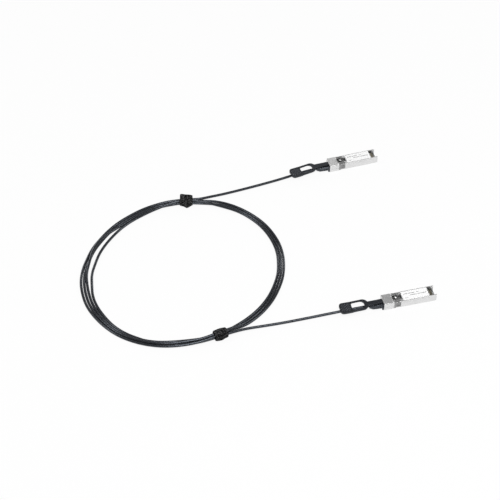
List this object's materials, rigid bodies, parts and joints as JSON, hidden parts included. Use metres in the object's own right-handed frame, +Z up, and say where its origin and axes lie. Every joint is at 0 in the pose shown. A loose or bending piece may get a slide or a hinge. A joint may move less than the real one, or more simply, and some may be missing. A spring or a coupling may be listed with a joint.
{
  "type": "direct attach copper cable",
  "caption": "Pluggable copper cable: a die-cast plug with pull strap on each end of a thin black twinax cable, wound in a flat coil and tied",
  "frame": {"origin": "bottom centre of the box round the two plug ends, on the surface that they lie on", "axes": "+Z up, out of the latch side of both ends; +X roughly from the coil towards the tips; +Y from end b to end a"},
  "size_m": [0.3785, 0.297, 0.0098],
  "materials": {
    "die_cast_zinc": "satin nickel over a die casting",
    "spring_steel": "bright stamped strip",
    "tab_plastic": "fine moulded texture",
    "boot_plastic": "satin moulded",
    "copper_alloy": "turned",
    "circuit_board": "solder mask",
    "gold_plate": "bright plated",
    "chip_plastic": "moulded",
    "core_plastic": "foil-wrapped pairs",
    "label_film": "bare printed film, semi-matt",
    "cable_jacket": "smooth satin jacket",
    "strap_fabric": "hook-and-loop weave"
  },
  "bodies": {
    "root": {"housing_base_a": "die_cast_zinc", "housing_cover_a": "die_cast_zinc", "latch_cap_a": "die_cast_zinc", "return_spring_a": "spring_steel", "emi_gasket_a": "spring_steel", "shell_screws_a": "spring_steel", "strain_relief_a": "boot_plastic", "crimp_ferrule_a": "copper_alloy", "paddle_card_a": "circuit_board", "contact_pads_a": "gold_plate", "memory_chip_a": "chip_plastic", "wire_pairs_a": "core_plastic", "label_a": "label_film", "housing_base_b": "die_cast_zinc", "housing_cover_b": "die_cast_zinc", "latch_cap_b": "die_cast_zinc", "return_spring_b": "spring_steel", "emi_gasket_b": "spring_steel", "shell_screws_b": "spring_steel", "strain_relief_b": "boot_plastic", "crimp_ferrule_b": "copper_alloy", "paddle_card_b": "circuit_board", "contact_pads_b": "gold_plate", "memory_chip_b": "chip_plastic", "wire_pairs_b": "core_plastic", "label_b": "label_film", "cable_lead_a": "cable_jacket", "cable_coil": "cable_jacket", "cable_lead_b": "cable_jacket", "cable_tie_upper": "strap_fabric", "cable_tie_lower": "strap_fabric"},
    "latch_a": {"latch_slide_a": "spring_steel", "pull_tab_a": "tab_plastic"},
    "latch_b": {"latch_slide_b": "spring_steel", "pull_tab_b": "tab_plastic"}
  },
  "joints": [
    {"name": "latch_pull_a", "type": "slide", "parent": "root", "child": "latch_a", "axis": [-0.9588, -0.284, 0], "range_m": [0, 0.0028], "stiffness_N_per_m": 450, "springref_m": -0.002, "deforming": ["return_spring_a"]},
    {"name": "latch_pull_b", "type": "slide", "parent": "root", "child": "latch_b", "axis": [-0.9703, -0.2419, 0], "range_m": [0, 0.0028], "stiffness_N_per_m": 450, "springref_m": -0.002, "deforming": ["return_spring_b"]}
  ]
}
